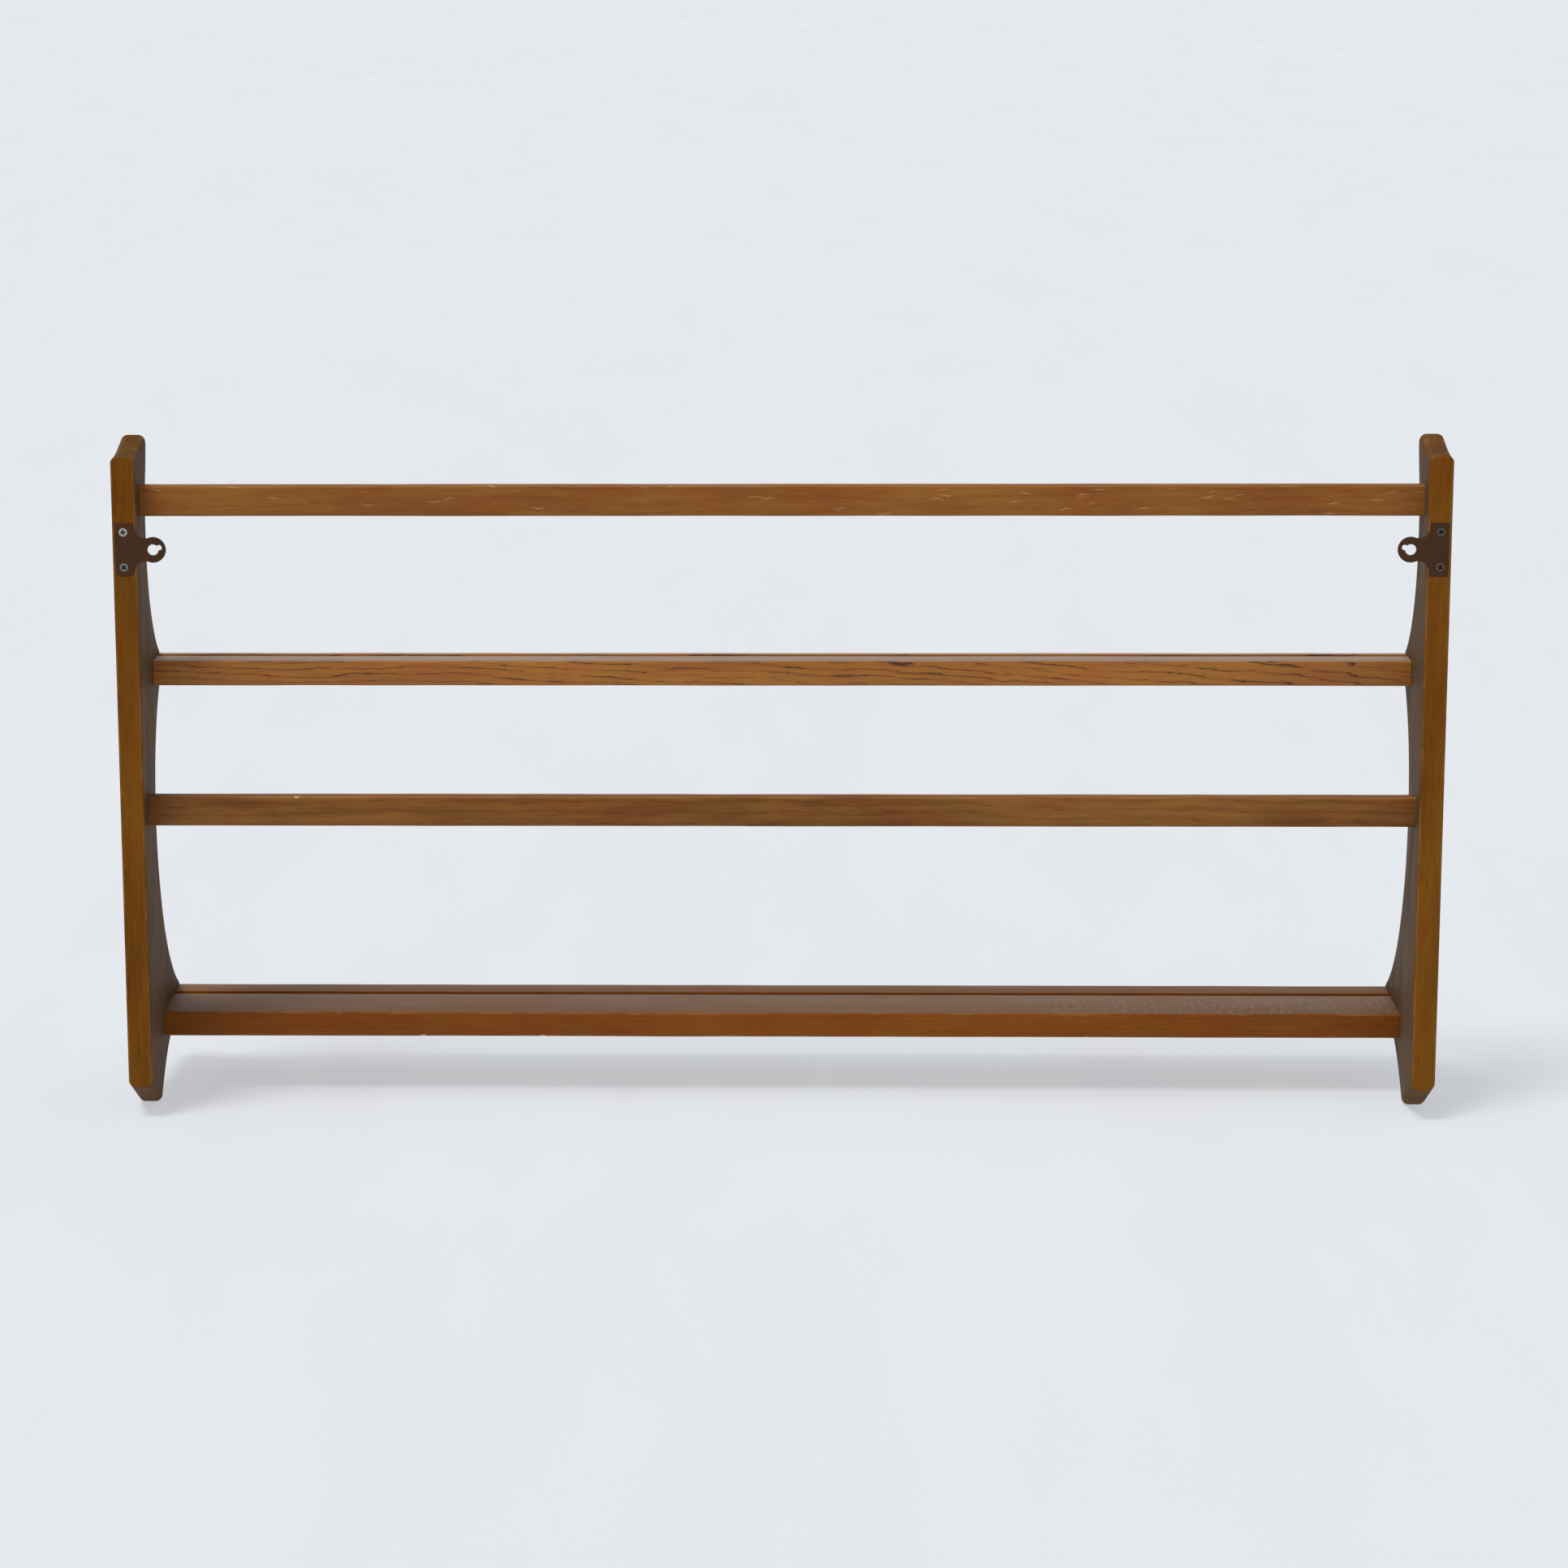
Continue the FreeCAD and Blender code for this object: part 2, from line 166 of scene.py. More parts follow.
class Bench:
    """One material being mixed. Each method lays one node and gives back its outcome."""

    def __init__(self, name):
        self.material = bpy.data.materials.new(name)
        self.material.use_nodes = True
        self.tree = self.material.node_tree
        self.tree.nodes.clear()
        self.shader = self.lay("BsdfPrincipled")
        output = self.lay("OutputMaterial")
        self.tree.links.new(self.shader.outputs["BSDF"], output.inputs["Surface"])

    def lay(self, kind, **settings):
        node = self.tree.nodes.new("ShaderNode" + kind)
        node.location = (-220 * len(self.tree.nodes), 0)
        for setting, value in settings.items():
            setattr(node, setting, value)
        return node

    def feed(self, socket, value):
        if isinstance(value, bpy.types.NodeSocket):
            self.tree.links.new(value, socket)
        else:
            socket.default_value = value

    def place(self):
        return self.lay("TexCoord").outputs["Object"]

    def attribute(self, name):
        return self.lay("Attribute", attribute_name=name).outputs["Fac"]

    def parts(self, vector):
        node = self.lay("SeparateXYZ")
        self.feed(node.inputs[0], vector)
        return node.outputs

    def vector(self, x, y, z):
        node = self.lay("CombineXYZ")
        for socket, value in zip(node.inputs, (x, y, z)):
            self.feed(socket, value)
        return node.outputs[0]

    def stretch(self, vector, scale):
        node = self.lay("VectorMath", operation="MULTIPLY")
        self.feed(node.inputs[0], vector)
        self.feed(node.inputs[1], scale)
        return node.outputs[0]

    def sum(self, operation, a, b=0.0, c=0.0):
        node = self.lay("Math", operation=operation)
        for socket, value in zip(node.inputs, (a, b, c)):
            self.feed(socket, value)
        return node.outputs[0]

    def noise(self, vector, scale=1.0, detail=2.0, roughness=0.5):
        node = self.lay("TexNoise")
        self.feed(node.inputs["Vector"], vector)
        self.feed(node.inputs["Scale"], scale)
        self.feed(node.inputs["Detail"], detail)
        self.feed(node.inputs["Roughness"], roughness)
        return node.outputs["Fac"]

    def cells(self, vector, scale=1.0):
        node = self.lay("TexVoronoi")
        self.feed(node.inputs["Vector"], vector)
        self.feed(node.inputs["Scale"], scale)
        return node.outputs["Distance"], node.outputs["Color"]

    def span(self, value, low, high, to_low=0.0, to_high=1.0):
        node = self.lay("MapRange", interpolation_type="SMOOTHSTEP")
        for socket, part in zip(node.inputs, (value, low, high, to_low, to_high)):
            self.feed(socket, part)
        return node.outputs[0]

    def ramp(self, value, stops):
        node = self.lay("ValToRGB")
        self.feed(node.inputs[0], value)
        band = node.color_ramp.elements
        for index, (position, colour) in enumerate(stops):
            stop = band[index] if index < 2 else band.new(position)
            stop.position = position
            stop.color = colour
        return node.outputs[0]

    def mix(self, share, a, b, blend="MIX"):
        node = self.lay("Mix", data_type="RGBA", blend_type=blend)
        self.feed(node.inputs[0], share)
        self.feed(node.inputs[6], a)
        self.feed(node.inputs[7], b)
        return node.outputs[2]

    def relief(self, height, depth, under=None):
        node = self.lay("Bump")
        self.feed(node.inputs["Strength"], 1.0)
        self.feed(node.inputs["Distance"], depth)
        self.feed(node.inputs["Height"], height)
        if under is not None:
            self.feed(node.inputs["Normal"], under)
        return node.outputs[0]


# %% [markdown]
# ## A floor that glows a little
#
# The shadows of the rack are very pale. A dome bright enough to fill them would also wash out the
# wood, so the floor is partly lit from below instead, as a light table is: one share of its colour
# is light that it gives off, and only the rest is light that falls on it and can be shadowed.

# %% Floor finish
FLOOR_GLOW = 0.58
BLACK = (0.0, 0.0, 0.0, 1.0)


def floor_finish():
    bench = Bench("pale_studio_floor")
    place = bench.stretch(bench.place(), (6.0, 1.3, 1.0))
    cloud = bench.noise(place, scale=1.0, detail=3.0, roughness=0.6)
    colour = bench.ramp(cloud, [(0.4, linear(228, 231, 237)), (0.6, linear(229, 234, 238))])
    bench.feed(bench.shader.inputs["Base Color"], bench.mix(FLOOR_GLOW, colour, BLACK))
    bench.feed(bench.shader.inputs["Emission Color"], bench.mix(1.0 - FLOOR_GLOW, colour, BLACK))
    bench.shader.inputs["Emission Strength"].default_value = 1.0
    bench.shader.inputs["Roughness"].default_value = 0.9
    bench.shader.inputs["Specular IOR Level"].default_value = 0.0
    return bench.material


floor.data.materials.append(floor_finish())
print("the floor gives off", round(100 * FLOOR_GLOW), "% of its own colour")

# %% [markdown]
# ## Boards as solid wood
#
# Every board was sawn out of a log, so its figure is one solid pattern that its faces cut through:
# growth rings round a pith that lies somewhere beside the board, drifting a little along its
# length. Painting each face with its own picture would break at the edges, so the recipe works in
# three dimensions. It turns a point into three lengths, one along the grain and two across, bends
# them with slow noise, and measures how far the point is from the pith. That distance, divided by
# the ring width, says how far into a year's growth the point lies.

# %% How far a point lies from the pith
def distance_from_pith(bench, place, lengths, pith, drift, bow):
    """The pith isn't straight: it has a slope, a slow curve and a wander."""
    along, across, up = lengths
    slope = bench.sum("MULTIPLY", along, drift)
    curve = bench.sum("MULTIPLY", bench.sum("MULTIPLY", along, along), bow)
    wander = bench.noise(bench.stretch(place, (6.0, 14.0, 14.0)), 1.0, 3.0, 0.6)
    wander = bench.sum("MULTIPLY_ADD", wander, 0.018, -0.009)
    bend = bench.sum("ADD", bench.sum("ADD", slope, curve), wander)
    across_pith = bench.sum("SUBTRACT", across, pith[0])
    up_pith = bench.sum("ADD", bench.sum("SUBTRACT", up, pith[1]), bend)
    square = bench.sum("ADD", bench.sum("MULTIPLY", across_pith, across_pith),
                       bench.sum("MULTIPLY", up_pith, up_pith))
    return bench.sum("SQRT", square)


# %% How far into a year's growth that is
def share_of_year(bench, place, distance, ring):
    ripple = bench.noise(bench.stretch(place, (26.0, 240.0, 240.0)), 1.0, 3.0, 0.65)
    distance = bench.sum("MULTIPLY_ADD", ripple, ring * 1.3, distance)
    return bench.sum("FRACT", bench.sum("DIVIDE", distance, ring))


# %% [markdown]
# ## Stain and pores
#
# Stain doesn't take evenly. It is paler in the middle of a year's growth and deeper where the years
# meet, it blotches, and whole stretches of a board drift warmer or lighter. Each of these is a
# slow noise that leads the colour towards another tone. Oak also has open pores, which fill with
# dark stain: short dashes along the grain, crowded into a thin seam where each year starts.

# %% The stained colour
WARM = linear(250, 212, 205)


def stained(bench, place, growth, tones, figure, blotch):
    """The colour before any wear, and the fibres, which the relief needs as well."""
    light, middle, deep, pore = tones
    yearly = bench.ramp(growth, [(0.0, deep), (0.2, middle), (0.6, light), (0.92, middle), (1.0, deep)])
    body = bench.mix(figure, middle, yearly)
    patch = bench.noise(bench.stretch(place, (9.0, 55.0, 55.0)), 1.0, 4.0, 0.62)
    body = bench.mix(bench.span(patch, 0.36, 0.66, 0.0, blotch), body, deep)
    glow = bench.noise(bench.stretch(place, (3.0, 16.0, 16.0)), 1.0, 2.0)
    body = bench.mix(bench.span(glow, 0.4, 0.66, 0.0, 0.6), body, light)
    warm = bench.noise(bench.stretch(place, (14.0, 38.0, 38.0)), 1.0, 3.0, 0.6)
    body = bench.mix(bench.span(warm, 0.42, 0.64, 0.0, 0.55), body, WARM, "MULTIPLY")
    fibre = bench.noise(bench.stretch(place, (30.0, 1100.0, 1100.0)), 1.0, 3.0, 0.65)
    body = bench.mix(bench.span(fibre, 0.3, 0.72, 0.0, 0.24), body, pore)
    return body, fibre


# %% The open pores
def open_pores(bench, place, growth, line, line_run, pore_depth):
    """How dark the pores are at a point, from 0 to 1."""
    crowd = bench.sum("MAXIMUM", bench.span(growth, 0.0, 0.24, 1.0, 0.0), bench.span(growth, 0.95, 1.0))
    dash = bench.noise(bench.stretch(place, (110.0, 2100.0, 2100.0)), 1.0, 1.0, 0.4)
    pores = bench.sum("MULTIPLY", bench.span(dash, 0.5, 0.6), bench.span(crowd, 0.0, 1.0, 0.15, 1.0))
    vessel = bench.noise(bench.stretch(place, (line_run, 330.0, 330.0)), 1.0, 3.0, 0.6)
    seam = bench.sum("MULTIPLY", crowd, bench.span(vessel, 0.45, 0.57))
    return bench.sum("MAXIMUM", bench.sum("MULTIPLY", pores, pore_depth),
                     bench.sum("MULTIPLY", seam, line))


# %% [markdown]
# ## Wear, dust, curl, and painted sheen and shade
#
# An old rack tells where it was touched. The rounded edges are rubbed paler and carry small nicks,
# a rail has a few scratches, and dust lies on whatever faces up, with a painted sheen over it. The
# lower shelf was cut from wood with a curly figure, whose sheen is painted as pale crescents one
# behind another on its top. The panels' broad faces get painted shade, darker than their sawn edges.
# Only some boards have each of these, so each is a step of its own that takes the colour so far and gives
# it back changed.

# %% Rubbed edges and nicks
EDGE_WEAR = 0.35
RUBBED = linear(168, 122, 78)
NICKED = linear(200, 166, 124)


def rubbed_and_nicked(bench, place):
    """How far an edge is rubbed at a point, and whether a nick lies there."""
    edge = bench.attribute("edge")
    rub = bench.noise(bench.stretch(place, (30.0, 120.0, 120.0)), 1.0, 3.0, 0.6)
    worn = bench.sum("MULTIPLY", edge, bench.span(rub, 0.42, 0.62, 0.0, EDGE_WEAR))
    spot, chance = bench.cells(bench.stretch(place, (0.6, 1.0, 1.0)), 130.0)
    picked = bench.sum("GREATER_THAN", bench.parts(chance)[0], 0.9)
    nick = bench.sum("MULTIPLY", bench.span(spot, 0.1, 0.22, 1.0, 0.0), picked)
    return worn, bench.sum("MULTIPLY", nick, bench.span(edge, 0.0, 0.6))


# %% Scratches: short, slightly bent scores along the grain
SCRATCHED = linear(206, 166, 124)


def scratch(bench, place, lengths, amount, body):
    along, across, up = lengths
    bent = bench.sum("MULTIPLY_ADD", bench.noise(place, 90.0, 1.0), 0.006, up)
    bent = bench.sum("MULTIPLY", bent, 1.8)
    scored = bench.vector(bench.sum("MULTIPLY", along, 0.1), bench.sum("MULTIPLY", across, 0.3), bent)
    mark, chance = bench.cells(scored, 220.0)
    picked = bench.sum("GREATER_THAN", bench.parts(chance)[1], 1.0 - amount)
    score = bench.sum("MULTIPLY", bench.span(mark, 0.05, 0.16, 1.0, 0.0), picked)
    return bench.mix(bench.sum("MULTIPLY", score, 0.6), body, SCRATCHED)


# %% Curly figure: its sheen painted as pale crescents, in a strip that faces up
CREST_SPACING = 0.0074
# The colour of the painted sheen on the crescents.
CREST_SHEEN = linear(190, 172, 136)


def curl(bench, place, lengths, facing_up, strip, pore, body):
    """The strip is where the curl is strongest, where it has faded out, its middle and its reach."""
    strongest, faded, strip_middle, reach = strip
    along, across, _ = lengths
    off = bench.sum("SUBTRACT", across, strip_middle)
    bulge = bench.sum("MULTIPLY", bench.sum("MULTIPLY", off, off), -9.0)
    ragged = bench.sum("MULTIPLY_ADD", bench.noise(place, 90.0, 2.0), 0.014,
                       bench.sum("ADD", along, bulge))
    wave = bench.sum("FRACT", bench.sum("DIVIDE", ragged, CREST_SPACING))
    crest = bench.sum("SUBTRACT", bench.span(wave, 0.25, 0.6), bench.span(wave, 0.75, 0.95))
    broken = bench.span(bench.noise(bench.stretch(place, (60.0, 60.0, 60.0)), 1.0, 1.0), 0.38, 0.6)
    strength = bench.sum("MULTIPLY", bench.span(along, faded, strongest, 1.0, 0.0), broken)
    inside = bench.span(bench.sum("ABSOLUTE", off), reach * 0.9, reach, 1.0, 0.0)
    strength = bench.sum("MULTIPLY", strength, inside)
    # The sheen is painted only where the face points up.
    strength = bench.sum("MULTIPLY", strength, bench.span(facing_up, 0.8, 0.95))
    body = bench.mix(bench.sum("MULTIPLY", strength, bench.sum("MULTIPLY", crest, 0.2)), body, CREST_SHEEN)
    hollow = bench.sum("MULTIPLY", bench.sum("SUBTRACT", 1.0, crest), 0.28)
    return bench.mix(bench.sum("MULTIPLY", strength, hollow), body, pore)


# %% Painted shade on the broad faces, and dust with a painted sheen
# The colour of the painted shade on broad faces.
BROAD_FACE_SHADE = linear(66, 53, 34)


def paint_shade_on_broad_faces(bench, facing, amount, body):
    """Painted shade: what faces the wall or the room stays golden; the rest is darker, and least so on
    top.
    """
    lean = bench.sum("ABSOLUTE", facing[1])
    away = bench.span(lean, 0.3, 0.85, amount, 0.0)
    away = bench.sum("MULTIPLY", away, bench.span(facing[2], 0.3, 0.8, 1.0, 0.55))
    return bench.mix(away, body, BROAD_FACE_SHADE)


# Dust, and a painted sheen: faces that point up are mixed towards a pale colour.
def dust_and_sheen_over(bench, place, facing_up, share, colour, body):
    film = bench.noise(bench.stretch(place, (9.0, 40.0, 40.0)), 1.0, 3.0, 0.6)
    film = bench.span(film, 0.25, 0.75, 0.6, 1.0)
    film = bench.sum("MULTIPLY", bench.span(facing_up, 0.75, 0.98), film)
    return bench.mix(bench.sum("MULTIPLY", film, share), body, colour)


# %% [markdown]
# ## One wood recipe for every board
#
# All the steps come together in one function, so that the boards look like pieces of one rack. The
# colour is built up step by step, then come the gloss of the satin lacquer, which is duller in the
# pores and where it is worn, and the relief: sunk pores and nicks over the faint ridges of the
# fibres.

# %% The wood recipe
def wood_finish(name, grain, pith, ring, drift, bow, tones, figure, line, line_run, pore_depth,
                blotch, gloss, shine, seed, dust_and_sheen=None, haze=0.0, scratches=0.0, painted_shade=0.0, strip=None):
    bench = Bench(name)
    x, y, z = bench.parts(bench.place())
    lengths = (x, y, z) if grain == "X" else (z, y, x)
    place = bench.vector(bench.sum("ADD", lengths[0], seed * 7.0), lengths[1], lengths[2])
    facing = bench.parts(bench.lay("NewGeometry").outputs["Normal"])
    pore = tones[3]

    distance = distance_from_pith(bench, place, lengths, pith, drift, bow)
    growth = share_of_year(bench, place, distance, ring)
    body, fibre = stained(bench, place, growth, tones, figure, blotch)
    dark = open_pores(bench, place, growth, line, line_run, pore_depth)
    body = bench.mix(dark, body, pore)
    worn, nick = rubbed_and_nicked(bench, place)
    body = bench.mix(worn, body, RUBBED)
    body = bench.mix(nick, body, NICKED)
    if scratches:
        body = scratch(bench, place, lengths, scratches, body)
    # The curly strip, with its sheen painted on the top.
    if strip:
        body = curl(bench, place, lengths, facing[2], strip, pore, body)
    # Painted shade on faces that lean away from the wall and the room.
    if painted_shade:
        body = paint_shade_on_broad_faces(bench, facing, painted_shade, body)
    # Dust with a painted sheen on what faces up.
    if dust_and_sheen:
        body = dust_and_sheen_over(bench, place, facing[2], *dust_and_sheen, body)
    bench.feed(bench.shader.inputs["Base Color"], body)

    sheen = bench.noise(bench.stretch(place, (12.0, 60.0, 60.0)), 1.0, 3.0, 0.6)
    rough = bench.span(sheen, 0.3, 0.7, gloss - 0.05, gloss + 0.07)
    rough = bench.sum("MULTIPLY_ADD", bench.sum("MAXIMUM", dark, worn), 0.18, rough)
    bench.feed(bench.shader.inputs["Roughness"], rough)
    bench.shader.inputs["Specular IOR Level"].default_value = shine
    bench.shader.inputs["Sheen Weight"].default_value = haze
    bench.shader.inputs["Sheen Roughness"].default_value = 0.4

    ridges = bench.relief(fibre, 0.00005)
    sunk = bench.sum("SUBTRACT", 1.0, bench.sum("MAXIMUM", dark, nick))
    bench.feed(bench.shader.inputs["Normal"], bench.relief(sunk, 0.00012, ridges))
    return bench.material


# %% The rails: little figure, the top one scratched
TOP_RAIL_TONES = (linear(168, 114, 50), linear(152, 98, 40), linear(132, 78, 32), linear(90, 50, 18))
MIDDLE_RAIL_TONES = (linear(156, 106, 48), linear(134, 88, 38), linear(106, 66, 28), linear(74, 42, 16))

top_rail_wood = wood_finish("top_rail_wood", "X", (0.06, 0.09), 0.0052, 0.012, 0.0, TOP_RAIL_TONES,
                            figure=0.16, line=0.1, line_run=14.0, pore_depth=0.3, blotch=0.75,
                            gloss=0.46, shine=0.14, seed=0.3, scratches=0.4)
middle_rail_wood = wood_finish("middle_rail_wood", "X", (0.05, -0.24), 0.0044, -0.01, 0.03,
                               MIDDLE_RAIL_TONES, figure=0.45, line=0.22, line_run=14.0,
                               pore_depth=0.35, blotch=0.7, gloss=0.46, shine=0.14, seed=0.7,
                               scratches=0.02)
print("mixed", top_rail_wood.name, "and", middle_rail_wood.name)

# %% The upper shelf: bold dark lines that sweep across its back, and a film of dust with a painted sheen
UPPER_SHELF_TONES = (linear(192, 124, 28), linear(174, 106, 20), linear(150, 84, 12), linear(56, 27, 6))
# Dust and painted sheen on the upper shelf's top.
PALE_DUST_AND_SHEEN = linear(182, 164, 142)

upper_shelf_wood = wood_finish("upper_shelf_wood", "X", (-0.03, -0.04), 0.0044, -0.06, 0.067,
                               UPPER_SHELF_TONES, figure=0.4, line=0.95, line_run=11.0,
                               pore_depth=0.7, blotch=0.4, gloss=0.42, shine=0.45, seed=0.1,
                               dust_and_sheen=(0.55, PALE_DUST_AND_SHEEN), haze=0.3)
print("mixed", upper_shelf_wood.name)

# %% The lower shelf: nearly plain, with a curly strip on its top
LOWER_SHELF_TONES = (linear(146, 84, 12), linear(136, 75, 8), linear(118, 61, 5), linear(76, 36, 4))
# Dust and painted sheen on the lower shelf's top.
BROWN_DUST_AND_SHEEN = linear(112, 100, 80)
lower_low, lower_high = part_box("lower_shelf")
LOWER_DEPTH = lower_high.y - lower_low.y
CURLY_STRIP = (-0.02, -0.36, lower_high.y - 0.31 * LOWER_DEPTH, 0.3 * LOWER_DEPTH)

lower_shelf_wood = wood_finish("lower_shelf_wood", "X", (-0.116, -0.47), 0.0034, 0.0, 0.0,
                               LOWER_SHELF_TONES, figure=0.2, line=0.08, line_run=14.0,
                               pore_depth=0.2, blotch=0.4, gloss=0.45, shine=0.14, seed=0.5,
                               dust_and_sheen=(0.5, BROWN_DUST_AND_SHEEN), haze=0.12, strip=CURLY_STRIP)
print("mixed", lower_shelf_wood.name, "with a curly strip",
      round(2 * CURLY_STRIP[3] / MM), "mm wide")

# %% The panels: upright grain, golden sawn edges and painted shade on the broad faces
PANEL_TONES = (linear(140, 92, 26), linear(122, 76, 18), linear(100, 58, 12), linear(64, 34, 6))

# The panels' broad faces get painted shade.
panel_wood = wood_finish("panel_wood", "Z", (-0.05, 0.6), 0.0046, 0.02, 0.05, PANEL_TONES,
                         figure=0.07, line=0.08, line_run=14.0, pore_depth=0.3, blotch=0.75,
                         gloss=0.6, shine=0.04, seed=0.2, painted_shade=0.68, haze=0.03)
print("mixed", panel_wood.name)

# %% [markdown]
# ## Dowels, plates and screws
#
# Dowels are bare beech: pale, dry and flecked. The plates are browned steel, so dark and matt that
# it hardly reads as metal, rubbed a little paler on the edges. The screws are zinc, with painted
# shade, near black, in the deepest part of the head, and the four have not aged alike: one is still
# bright, one has gone grey, and two have browned with their plate.

# %% Dowel finish
def dowel_finish():
    bench = Bench("dowel_beech")
    place = bench.stretch(bench.place(), (60.0, 900.0, 900.0))
    fleck = bench.noise(place, 1.0, 3.0, 0.6)
    colour = bench.ramp(fleck, [(0.3, linear(190, 148, 104)), (0.7, linear(216, 180, 136))])
    bench.feed(bench.shader.inputs["Base Color"], colour)
    bench.feed(bench.shader.inputs["Normal"], bench.relief(fleck, 0.00004))
    bench.shader.inputs["Roughness"].default_value = 0.7
    return bench.material


# %% Plate finish
def plate_finish():
    bench = Bench("browned_steel")
    place = bench.place()
    cloud = bench.noise(place, 90.0, 3.0, 0.55)
    speck = bench.noise(place, 1800.0, 2.0, 0.5)
    colour = bench.ramp(cloud, [(0.3, linear(60, 42, 23)), (0.7, linear(78, 47, 27))])
    edge = bench.attribute("edge")
    rubbed = bench.sum("MULTIPLY", edge, bench.span(cloud, 0.45, 0.62))
    colour = bench.mix(bench.sum("MULTIPLY", rubbed, 0.4), colour, linear(112, 84, 64))
    bench.feed(bench.shader.inputs["Base Color"], colour)
    bench.feed(bench.shader.inputs["Roughness"], bench.span(cloud, 0.3, 0.7, 0.48, 0.62))
    bench.feed(bench.shader.inputs["Normal"], bench.relief(speck, 0.00003))
    bench.shader.inputs["Specular IOR Level"].default_value = 0.12
    return bench.material


# %% Screw finish
# How deep the painted shade in the cross starts and ends.
RECESS_SHADE_DEPTH = (-0.44 * MM, -0.15 * MM)


def zinc_finish(name, dim, bright):
    """Painted shade, near black, lies thick below the first depth and is gone at the second."""
    bench = Bench(name)
    place = bench.place()
    y = bench.parts(place)[1]
    cloud = bench.noise(place, 900.0, 4.0, 0.6)
    colour = bench.ramp(cloud, [(0.3, dim), (0.7, bright)])
    painted_shade = bench.span(y, *RECESS_SHADE_DEPTH, 0.95, 0.0)
    # Painted shade in the cross recess of the head.
    colour = bench.mix(painted_shade, colour, linear(26, 28, 34))
    bench.feed(bench.shader.inputs["Base Color"], colour)
    bench.feed(bench.shader.inputs["Roughness"], bench.span(cloud, 0.3, 0.7, 0.24, 0.42))
    bench.feed(bench.shader.inputs["Normal"], bench.relief(cloud, 0.00003))
    bench.shader.inputs["Metallic"].default_value = 0.9
    return bench.material


# %% Mix the small finishes
dowel_beech = dowel_finish()
browned_steel = plate_finish()
dull_zinc = zinc_finish("dull_zinc", linear(168, 166, 162), linear(214, 212, 206))
grey_zinc = zinc_finish("grey_zinc", linear(124, 120, 116), linear(158, 153, 147))
browned_zinc = zinc_finish("browned_zinc", linear(86, 74, 68), linear(124, 110, 102))
print("mixed", ", ".join(finish.name for finish in (dowel_beech, browned_steel, dull_zinc,
                                                    grey_zinc, browned_zinc)))

# %% [markdown]
# ## Handling meshes by hand
#
# The pieces below are modelled the way a person does it with the mouse: add a primitive, go into
# edit mode, pick some faces or edges, and use an operator on them. An operator acts on everything
# that is selected, so each step starts from a clean selection, and what is picked is told by its
# place. These few helpers keep that in one spot.

# %% Selection helpers
def clear_selection():
    if bpy.context.object and bpy.context.object.mode != "OBJECT":
        bpy.ops.object.mode_set(mode="OBJECT")
    bpy.ops.object.select_all(action="DESELECT")


def take_up(piece):
    """Makes one piece the only selected one and the active one."""
    clear_selection()
    piece.select_set(True)
    bpy.context.view_layer.objects.active = piece


def start_editing(piece, kind):
    take_up(piece)
    bpy.ops.object.mode_set(mode="EDIT")
    bpy.ops.mesh.select_mode(type=kind)
    bpy.ops.mesh.select_all(action="DESELECT")


def pick(piece, kind, wanted):
    """In edit mode, selects the vertices, edges or faces that pass a test, and nothing else."""
    bpy.ops.mesh.select_mode(type=kind)
    bpy.ops.mesh.select_all(action="DESELECT")
    shape = bmesh.from_edit_mesh(piece.data)
    elements = {"VERT": shape.verts, "EDGE": shape.edges, "FACE": shape.faces}[kind]
    for element in elements:
        if wanted(element):
            element.select_set(True)
    bmesh.update_edit_mesh(piece.data)


def stop_editing(piece):
    """Turns every face outwards and goes back to object mode."""
    bpy.ops.mesh.select_all(action="SELECT")
    bpy.ops.mesh.normals_make_consistent(inside=False)
    bpy.ops.object.mode_set(mode="OBJECT")


def fix_place(piece):
    """Moves the piece's place into its mesh, so that its object sits at the origin, unturned."""
    take_up(piece)
    bpy.ops.object.transform_apply(location=True, rotation=True, scale=True)


def apply_modifiers(piece):
    take_up(piece)
    for modifier in list(piece.modifiers):
        bpy.ops.object.modifier_apply(modifier=modifier.name)


def own_copy(source, name):
    """A copy with a mesh of its own."""
    twin = source.copy()
    twin.data = source.data.copy()
    twin.name = name
    twin.data.name = name
    bpy.context.scene.collection.objects.link(twin)
    return twin


def discard(piece):
    mesh = piece.data
    bpy.data.objects.remove(piece)
    bpy.data.meshes.remove(mesh)


def mark_edges(piece, is_worn):
    """Writes 1 on the vertices that hands and dusters rub, and 0 elsewhere, for the finish to read."""
    marks = piece.data.attributes.new("edge", "FLOAT", "POINT")
    marks.data.foreach_set("value", [1.0 if is_worn(vertex) else 0.0 for vertex in piece.data.vertices])


def hand_over(piece, finish, slot, *nodes):
    """The piece gets its finish, stands for its CAD nodes, and rides with the rack."""
    piece.data.materials.clear()
    piece.data.materials.append(finish)
    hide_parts(*nodes)
    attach(piece, "root")
    print(piece.name, "has", len(piece.data.polygons), "faces and stands for", ", ".join(nodes))


# %% [markdown]
# ## Rails and shelves
#
# A rail or a shelf is a moulding: one cross-section run through the planer for its whole length.
# So it is drawn as a flat end face first. A plane is set up on end between the two panels, its
# corners are rounded as vertices, and for a shelf the plate groove is cut out of it. Then the face
# is pulled along the rack in one extrusion. A block with bevelled edges would do for a rail, but
# the round-bottomed groove is much easier to get right in the flat section.

# %% The end face of a board
def corner_test(y, z, reach=0.0001):
    """True for a vertex that stands at one place in the cross-section."""
    return lambda vertex: abs(vertex.co.y - y) < reach and abs(vertex.co.z - z) < reach


